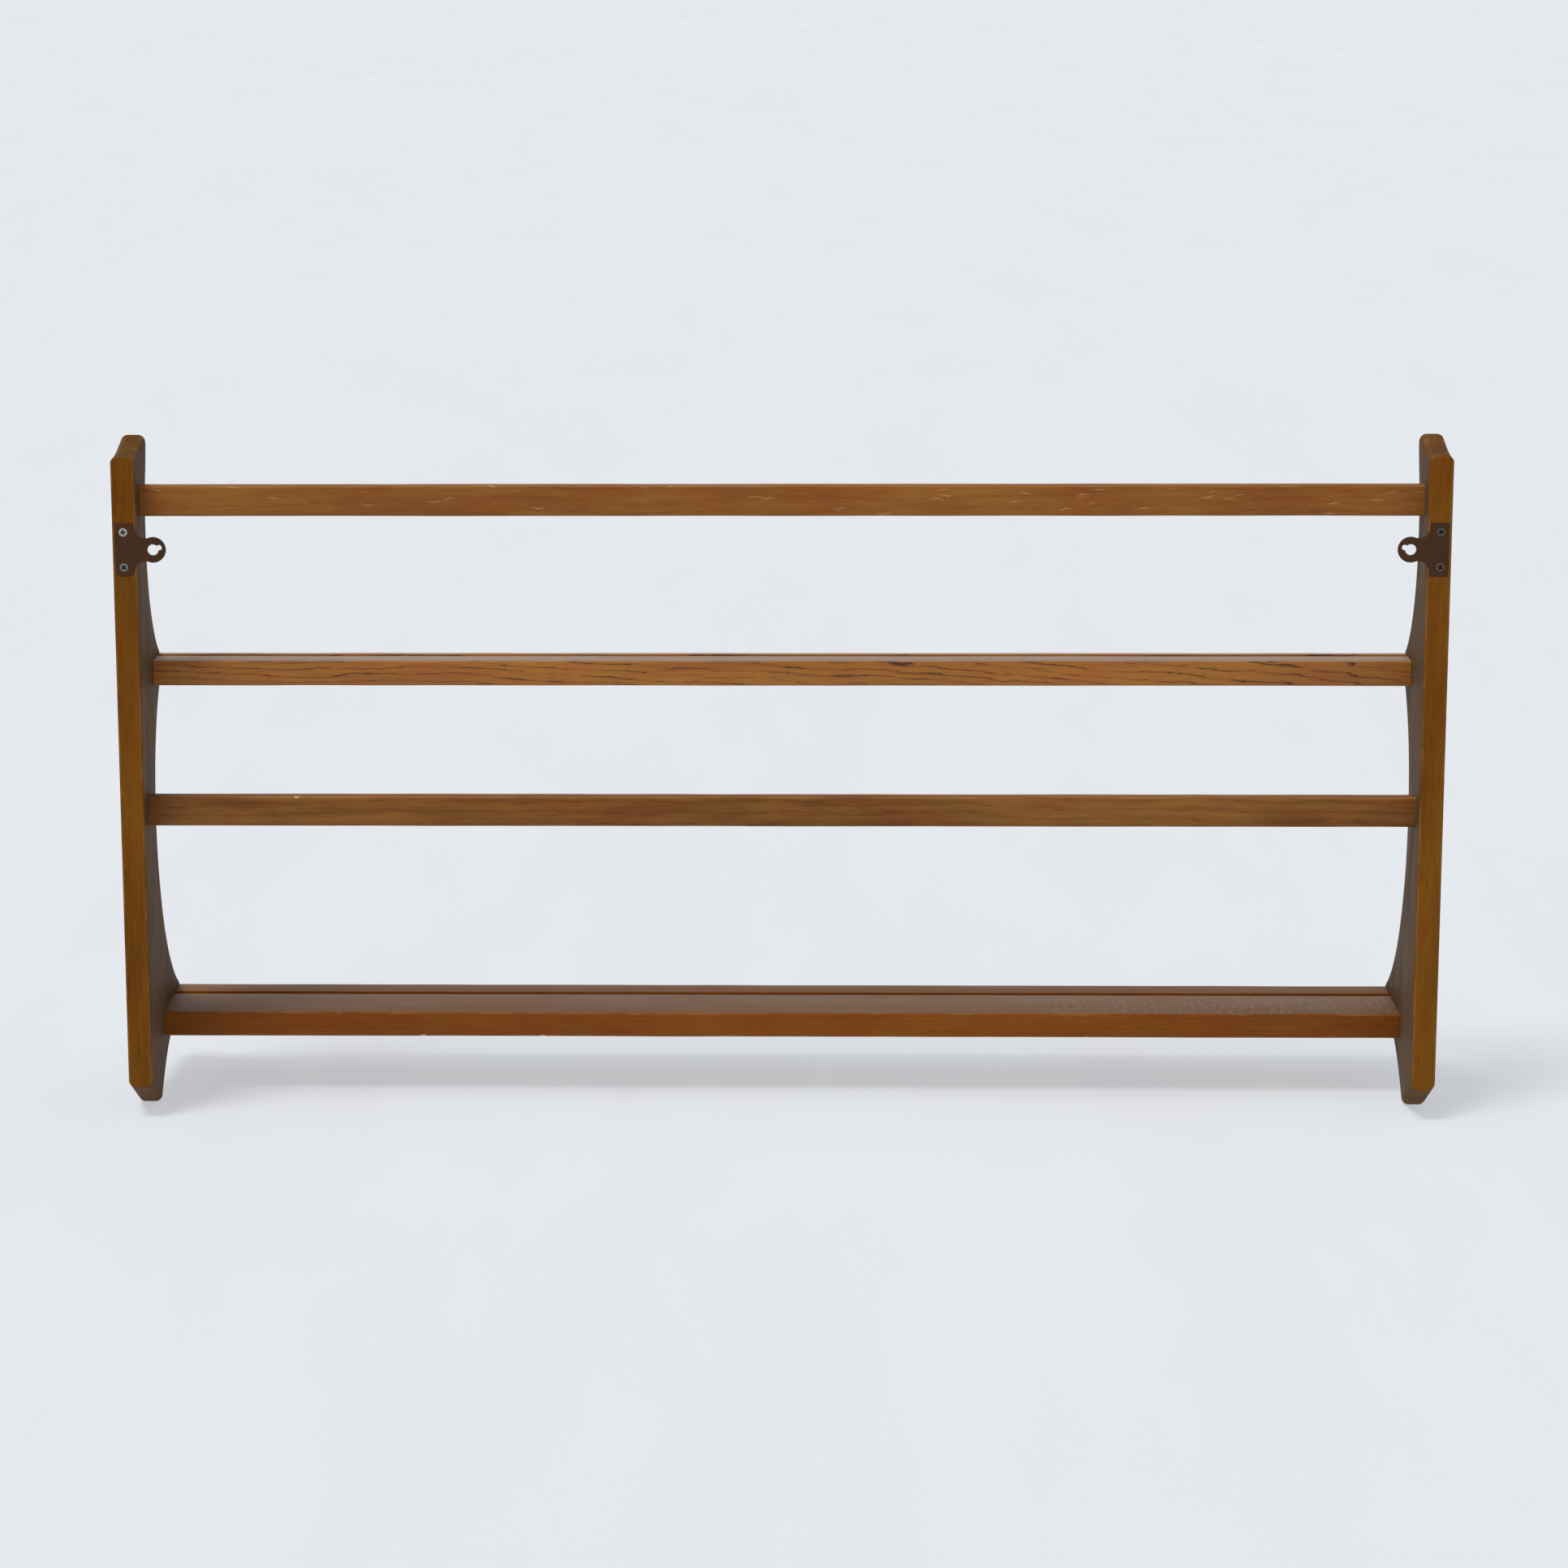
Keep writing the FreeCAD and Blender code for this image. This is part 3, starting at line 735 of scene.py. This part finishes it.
def end_face(name, low, high):
    """An upright rectangle at the left end of a board."""
    middle = (low + high) / 2
    clear_selection()
    bpy.ops.mesh.primitive_plane_add(size=1, location=(low.x, middle.y, middle.z),
                                     rotation=(0, math.radians(90), 0))
    face = bpy.context.object
    face.name = name
    face.scale = (high.z - low.z, high.y - low.y, 1)
    fix_place(face)
    return face


def round_corners(piece, corners, radius, segments):
    for y, z in corners:
        pick(piece, "VERT", corner_test(y, z))
        bpy.ops.mesh.bevel(affect="VERTICES", offset=radius, segments=segments, profile=0.5)


# %% The plate groove in the end face
GROOVE_WIDTH = 7.0 * MM
GROOVE_DEPTH = 5.0 * MM
GROOVE_LIP = 0.6 * MM


def cut_groove(piece, groove_y, top):
    """Cuts a notch into the top of the end face and rounds its bottom."""
    sides = (groove_y - GROOVE_WIDTH / 2, groove_y + GROOVE_WIDTH / 2)
    bottom = top - GROOVE_DEPTH
    for side in sides:
        bpy.ops.mesh.select_all(action="SELECT")
        bpy.ops.mesh.bisect(plane_co=(0, side, 0), plane_no=(0, 1, 0))
    pick(piece, "FACE", lambda face: abs(face.calc_center_median().y - groove_y) < MM)
    bpy.ops.mesh.bisect(plane_co=(0, 0, bottom), plane_no=(0, 0, 1))
    pick(piece, "FACE", lambda face: abs(face.calc_center_median().y - groove_y) < MM
         and face.calc_center_median().z > bottom)
    bpy.ops.mesh.delete(type="FACE")
    bpy.ops.mesh.select_all(action="SELECT")
    bpy.ops.mesh.dissolve_faces()
    round_corners(piece, [(side, bottom) for side in sides], GROOVE_WIDTH / 2 - 0.1 * MM, 6)
    round_corners(piece, [(side, top) for side in sides], GROOVE_LIP, 2)


# %% Pulling the end face along the rack
BOARD_SLICES = 64


def pull_out(piece, length):
    """Extrudes the end face to the other panel and slices the long strips across."""
    bpy.ops.mesh.select_mode(type="FACE")
    bpy.ops.mesh.select_all(action="SELECT")
    bpy.ops.mesh.extrude_region_move(TRANSFORM_OT_translate={"value": (length, 0, 0)})
    pick(piece, "EDGE", lambda edge: abs(edge.verts[0].co.x - edge.verts[1].co.x) > length / 2)
    bpy.ops.mesh.subdivide(number_cuts=BOARD_SLICES)


# %% Sanded by hand: no face of a real board is dead flat
sanding = bpy.data.textures.new("hand_sanding", "CLOUDS")
sanding.noise_scale = 0.06
sanding.noise_depth = 1
SANDING_DEPTH = 0.35 * MM


def sand(piece):
    """Takes a few tenths of a millimetre off, unevenly, always inwards."""
    modifier = piece.modifiers.new("sanding", "DISPLACE")
    modifier.texture = sanding
    modifier.texture_coords = "LOCAL"
    modifier.mid_level = 1.0
    modifier.strength = SANDING_DEPTH
    apply_modifiers(piece)


# %% One function for all four boards
BOARD_ROUNDING = {"top_rail": 1.5 * MM, "middle_rail": 1.5 * MM,
                  "upper_shelf": 1.8 * MM, "lower_shelf": 1.8 * MM}
GROOVE_FROM_FRONT = {"upper_shelf": 11 * MM, "lower_shelf": 27 * MM}


def make_board(node):
    low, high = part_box(node)
    rounding = BOARD_ROUNDING[node]
    board = end_face(node + "_board", low, high)
    start_editing(board, "VERT")
    if node in GROOVE_FROM_FRONT:
        cut_groove(board, low.y + GROOVE_FROM_FRONT[node], high.z)
    round_corners(board, [(y, z) for y in (low.y, high.y) for z in (low.z, high.z)], rounding, 4)
    pull_out(board, high.x - low.x)
    stop_editing(board)
    sand(board)
    bpy.ops.object.shade_smooth_by_angle(angle=math.radians(35))
    reach = 0.75 * rounding
    depth_in = lambda vertex: min(vertex.co.y - low.y, high.y - vertex.co.y)
    height_in = lambda vertex: min(vertex.co.z - low.z, high.z - vertex.co.z)
    mark_edges(board, lambda vertex: depth_in(vertex) < reach and height_in(vertex) < reach)
    return board


boards = {node: make_board(node) for node in BOARD_ROUNDING}
for node, board in boards.items():
    print(node, "is", round(board.dimensions.x / MM, 1), "mm long")

# %% [markdown]
# ## Dowels and their bores
#
# Each board is held by wooden pins glued into blind bores. Bought dowels are not smooth: flutes run
# along them so that trapped air and spare glue can get out, and both ends are chamfered so that
# they find their hole. A dowel starts as a small disc, grows by extrusions that widen, run and
# narrow again, and every third vertex of its long rings is drawn in to make the flutes. The bores
# are cut with plain round cutters and a boolean, because a bore is the one place where a plain
# cylinder is the true shape.

# %% One dowel, lying along the rack
DOWEL_SIDES = 36
DOWEL_CHAMFER = 1.0 * MM
FLUTE_SHARE = 0.92
BORE_CLEARANCE = 0.05 * MM


def make_dowel(name, start, length, radius):
    clear_selection()
    bpy.ops.mesh.primitive_circle_add(vertices=DOWEL_SIDES, radius=radius - DOWEL_CHAMFER,
                                      fill_type="NGON", location=start, rotation=(0, math.radians(90), 0))
    dowel = bpy.context.object
    dowel.name = name
    fix_place(dowel)
    start_editing(dowel, "FACE")
    bpy.ops.mesh.select_all(action="SELECT")
    widen = radius / (radius - DOWEL_CHAMFER)
    middle_run = length - 2 * DOWEL_CHAMFER
    for run, scale in ((DOWEL_CHAMFER, widen), (middle_run, 1.0), (DOWEL_CHAMFER, 1 / widen)):
        bpy.ops.mesh.extrude_region_move(TRANSFORM_OT_translate={"value": (run, 0, 0)})
        bpy.ops.transform.resize(value=(1, scale, scale), center_override=start)
    centre = Vector((0, start.y, start.z))

    def in_a_flute(vertex):
        arm = Vector((0, vertex.co.y, vertex.co.z)) - centre
        turn = round(math.degrees(math.atan2(arm.z, arm.y)) / (360 / DOWEL_SIDES))
        return arm.length > radius - DOWEL_CHAMFER / 2 and turn % 3 == 0

    pick(dowel, "VERT", in_a_flute)
    bpy.ops.transform.resize(value=(1, FLUTE_SHARE, FLUTE_SHARE), center_override=start)
    stop_editing(dowel)
    return dowel


# %% Where the dowels lie: read from the measured pieces
DOWEL_COUNTS = {"top_rail": 2, "middle_rail": 2, "upper_shelf": 2, "lower_shelf": 3}


def dowel_places(node, count):
    """The start of each dowel in a group, its length and its radius."""
    low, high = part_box(node)
    radius = min(high.y - low.y, high.z - low.z) / 2
    first = Vector((low.x, low.y + radius, low.z + radius))
    last = Vector((low.x, high.y - radius, high.z - radius))
    starts = [first.lerp(last, index / (count - 1)) for index in range(count)]
    return starts, high.x - low.x, radius


# %% Make each group of dowels and bore the board for it
def bore(board, start, length, radius):
    clear_selection()
    bpy.ops.mesh.primitive_cylinder_add(vertices=DOWEL_SIDES, radius=radius + BORE_CLEARANCE,
                                        depth=length + 2 * MM, rotation=(0, math.radians(90), 0),
                                        location=start + Vector((length / 2, 0, 0)))
    cutter = bpy.context.object
    modifier = board.modifiers.new("bore", "BOOLEAN")
    modifier.object = cutter
    modifier.operation = "DIFFERENCE"
    modifier.solver = "EXACT"
    apply_modifiers(board)
    discard(cutter)


def join(pieces):
    take_up(pieces[0])
    for piece in pieces[1:]:
        piece.select_set(True)
    bpy.ops.object.join()
    return pieces[0]


for member, count in DOWEL_COUNTS.items():
    for side in ("left", "right"):
        node = "dowels_%s_%s" % (member, side)
        starts, length, radius = dowel_places(node, count)
        pins = []
        for start in starts:
            pins.append(make_dowel("fluted_" + node, start, length, radius))
            bore(boards[member], start, length, radius)
        group = join(pins)
        take_up(group)
        bpy.ops.object.shade_smooth_by_angle(angle=math.radians(15))
        hand_over(group, dowel_beech, "dowel_wood", node)

# %% Hand the boards over with their finishes
board_finishes = {"top_rail": top_rail_wood, "middle_rail": middle_rail_wood,
                  "upper_shelf": upper_shelf_wood, "lower_shelf": lower_shelf_wood}
for node, board in boards.items():
    slot = "rail_wood" if "rail" in node else "shelf_wood"
    hand_over(board, board_finishes[node], slot, node)

# %% [markdown]
# ## End panels
#
# An end panel is sawn to a curved outline and its edges are rounded over with a router. That
# shape is exactly what the measured model holds, so it isn't drawn a second time: the panel
# is a copy of it, with its loose triangles merged into one skin and its curves shaded smooth. The
# rounded edges are marked, so that the finish knows where the lacquer is rubbed.

# %% Merge a copy of a measured piece
def merged_copy(node, name, smooth_angle):
    piece = own_copy(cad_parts[node], name)
    for key in list(piece.keys()):
        del piece[key]
    piece.parent = None
    take_up(piece)
    bpy.ops.mesh.customdata_custom_splitnormals_clear()
    start_editing(piece, "VERT")
    bpy.ops.mesh.select_all(action="SELECT")
    bpy.ops.mesh.remove_doubles(threshold=0.001 * MM)
    bpy.ops.object.mode_set(mode="OBJECT")
    bpy.ops.object.shade_smooth_by_angle(angle=smooth_angle)
    return piece


# %% The panels
SIDE_LEAN = 0.995
OUTLINE_LEAN = 0.06


def flat_vertices(piece):
    """The vertices of the broad sides and of the outline; the others are on the rounding alone."""
    flat = set()
    for face in piece.data.polygons:
        lean = abs(face.normal.x)
        if lean > SIDE_LEAN or lean < OUTLINE_LEAN:
            flat.update(face.vertices)
    return flat


for side in ("left", "right"):
    panel = merged_copy("end_panel_" + side, "end_panel_%s_board" % side, math.radians(30))
    flat = flat_vertices(panel)
    mark_edges(panel, lambda vertex: vertex.index not in flat)
    hand_over(panel, panel_wood, "panel_wood", "end_panel_" + side)

# %% [markdown]
# ## Hanging plates
#
# The plates are stamped from 1.6 mm steel, browned, and let into the wall edge. Stamping leaves a
# soft edge all round, which catches the light as a thin line. So a merged copy of the measured
# plate has its flat faces cleaned into single faces, and a small bevel runs round every sharp edge.

# %% Soft edges for a stamped plate
STAMPED_EDGE = 0.22 * MM


def make_plate(side):
    plate = merged_copy("hanger_plate_" + side, "stamped_plate_" + side, math.radians(30))
    start_editing(plate, "FACE")
    bpy.ops.mesh.select_all(action="SELECT")
    bpy.ops.mesh.dissolve_limited(angle_limit=math.radians(1))
    bpy.ops.object.mode_set(mode="OBJECT")
    modifier = plate.modifiers.new("stamped edge", "BEVEL")
    modifier.width = STAMPED_EDGE
    modifier.segments = 3
    modifier.limit_method = "ANGLE"
    modifier.angle_limit = math.radians(50)
    apply_modifiers(plate)
    bpy.ops.object.shade_smooth_by_angle(angle=math.radians(40))
    low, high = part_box("hanger_plate_" + side)
    depth_in = lambda vertex: min(vertex.co.y - low.y, high.y - vertex.co.y)
    mark_edges(plate, lambda vertex: 0.01 * MM < depth_in(vertex) < STAMPED_EDGE)
    hand_over(plate, browned_steel, "hanger_plate", "hanger_plate_" + side)


for side in ("left", "right"):
    make_plate(side)

# %% [markdown]
# ## Wood screws
#
# Each plate is held by two countersunk cross-head screws. One screw is made, standing in the wall
# plane, by growing a disc along its axis: a thin land, the countersink, a plain shank, the core of
# the thread and the point. Head and shank are a tenth of a millimetre slimmer than the measured
# ones, so that they never cut into the plate or the panel. The cross is cut with two tapered bars,
# the thread is a small triangle wound round the core, and the finished screw is copied to four
# places, each at its own turn.

# %% Sizes of a screw, read from one measured screw
SCREW_NODE = "hanger_screw_left_upper"
SCREW_LOW, SCREW_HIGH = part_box(SCREW_NODE)
SCREW_TOP = SCREW_HIGH.y
SCREW_END = SCREW_LOW.y
HEAD_RADIUS = (SCREW_HIGH.x - SCREW_LOW.x) / 2
SHANK_RADIUS = HEAD_RADIUS / 2
CORE_RADIUS = 0.72 * SHANK_RADIUS
print("screw head", round(2 * HEAD_RADIUS / MM, 2), "mm across,",
      "screw", round((SCREW_TOP - SCREW_END) / MM, 1), "mm long")

# %% The turned outline, as radius and depth, from the land to the point
SCREW_PLAY = 0.1 * MM
LAND = 0.04 * MM
SCREW_PROFILE = [(HEAD_RADIUS - SCREW_PLAY - LAND, SCREW_TOP - LAND),
                 (SHANK_RADIUS - SCREW_PLAY, SCREW_TOP - (HEAD_RADIUS - SHANK_RADIUS)),
                 (SHANK_RADIUS - SCREW_PLAY, SCREW_TOP - 5.0 * MM),
                 (CORE_RADIUS, SCREW_TOP - 5.4 * MM),
                 (CORE_RADIUS, SCREW_END + 3.5 * MM),
                 (0.15 * MM, SCREW_END)]


# %% The turned body
RIM_WIDTH = 0.42 * MM
DISH_DEPTH = 0.14 * MM


def turned_screw():
    clear_selection()
    radius = HEAD_RADIUS - SCREW_PLAY - 0.1 * MM
    bpy.ops.mesh.primitive_circle_add(vertices=48, radius=radius, fill_type="NGON",
                                      location=(0, SCREW_TOP, 0), rotation=(math.radians(90), 0, 0))
    screw = bpy.context.object
    fix_place(screw)
    start_editing(screw, "FACE")
    bpy.ops.mesh.select_all(action="SELECT")
    depth = SCREW_TOP
    for next_radius, next_depth in SCREW_PROFILE:
        bpy.ops.mesh.extrude_region_move(TRANSFORM_OT_translate={"value": (0, next_depth - depth, 0)})
        share = next_radius / radius
        bpy.ops.transform.resize(value=(share, 1, share), center_override=(0, next_depth, 0))
        radius, depth = next_radius, next_depth
    pick(screw, "FACE", lambda face: face.normal.y > 0.99
         or face.calc_center_median().y > SCREW_TOP - 0.01 * MM)
    bpy.ops.mesh.inset(thickness=RIM_WIDTH)
    bpy.ops.transform.translate(value=(0, -DISH_DEPTH, 0))
    stop_editing(screw)
    return screw


# %% The cross, cut with two tapered bars
CROSS_SPAN = 4.3 * MM
CROSS_WIDTH = 1.5 * MM
CROSS_DEPTH = 1.3 * MM


def cut_cross(screw):
    for span_x, span_z in ((CROSS_SPAN, CROSS_WIDTH), (CROSS_WIDTH, CROSS_SPAN)):
        clear_selection()
        bpy.ops.mesh.primitive_cube_add(size=1.0, scale=(span_x, CROSS_DEPTH, span_z),
                                        location=(0, SCREW_TOP - CROSS_DEPTH / 2 + 0.2 * MM, 0))
        bar = bpy.context.object
        fix_place(bar)
        start_editing(bar, "VERT")
        pick(bar, "VERT", lambda vertex: vertex.co.y < SCREW_TOP - CROSS_DEPTH / 2)
        bpy.ops.transform.resize(value=(0.5, 1, 0.5), center_override=(0, SCREW_TOP - CROSS_DEPTH, 0))
        stop_editing(bar)
        modifier = screw.modifiers.new("cross", "BOOLEAN")
        modifier.object = bar
        modifier.operation = "DIFFERENCE"
        modifier.solver = "EXACT"
        apply_modifiers(screw)
        discard(bar)


# %% The thread, a triangle wound round the core
THREAD_PITCH = 1.25 * MM
THREAD_TURNS = 5
THREAD_START = SCREW_TOP - 5.8 * MM


def wind_thread():
    height = SHANK_RADIUS - CORE_RADIUS
    clear_selection()
    bpy.ops.mesh.primitive_circle_add(vertices=3, radius=height * 0.75, location=(0, 0, 0),
                                      rotation=(0, 0, math.radians(-90)))
    thread = bpy.context.object
    fix_place(thread)
    start_editing(thread, "VERT")
    bpy.ops.mesh.select_all(action="SELECT")
    bpy.ops.transform.translate(value=(CORE_RADIUS + 0.2 * height, THREAD_START, 0))
    bpy.ops.object.mode_set(mode="OBJECT")
    modifier = thread.modifiers.new("winding", "SCREW")
    modifier.axis = "Y"
    modifier.screw_offset = -THREAD_PITCH
    modifier.iterations = THREAD_TURNS
    modifier.steps = 24
    modifier.render_steps = 24
    apply_modifiers(thread)
    start_editing(thread, "EDGE")
    middle = THREAD_START - THREAD_TURNS / 2 * THREAD_PITCH
    for is_end in (lambda place: place.y > middle, lambda place: place.y < middle):
        pick(thread, "EDGE", lambda edge: edge.is_boundary and is_end(edge.verts[0].co))
        bpy.ops.mesh.edge_face_add()
    stop_editing(thread)
    return thread


# %% One whole screw
screw = turned_screw()
cut_cross(screw)
screw = join([screw, wind_thread()])
take_up(screw)
bpy.ops.object.shade_smooth_by_angle(angle=math.radians(25))
print("one screw has", len(screw.data.polygons), "faces")

# %% Four copies, each at its own turn and with its own wear
SCREW_TURNS = {"left_upper": 22, "left_lower": -31, "right_upper": 12, "right_lower": 40}
SCREW_FINISHES = {"left_upper": browned_zinc, "left_lower": browned_zinc,
                  "right_upper": dull_zinc, "right_lower": grey_zinc}
for place, turn in SCREW_TURNS.items():
    node = "hanger_screw_" + place
    low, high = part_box(node)
    copy = own_copy(screw, "cross_head_screw_" + place)
    copy.location = ((low.x + high.x) / 2, 0, (low.z + high.z) / 2)
    copy.rotation_euler = (0, math.radians(turn), 0)
    fix_place(copy)
    hand_over(copy, SCREW_FINISHES[place], "screw", node)
discard(screw)
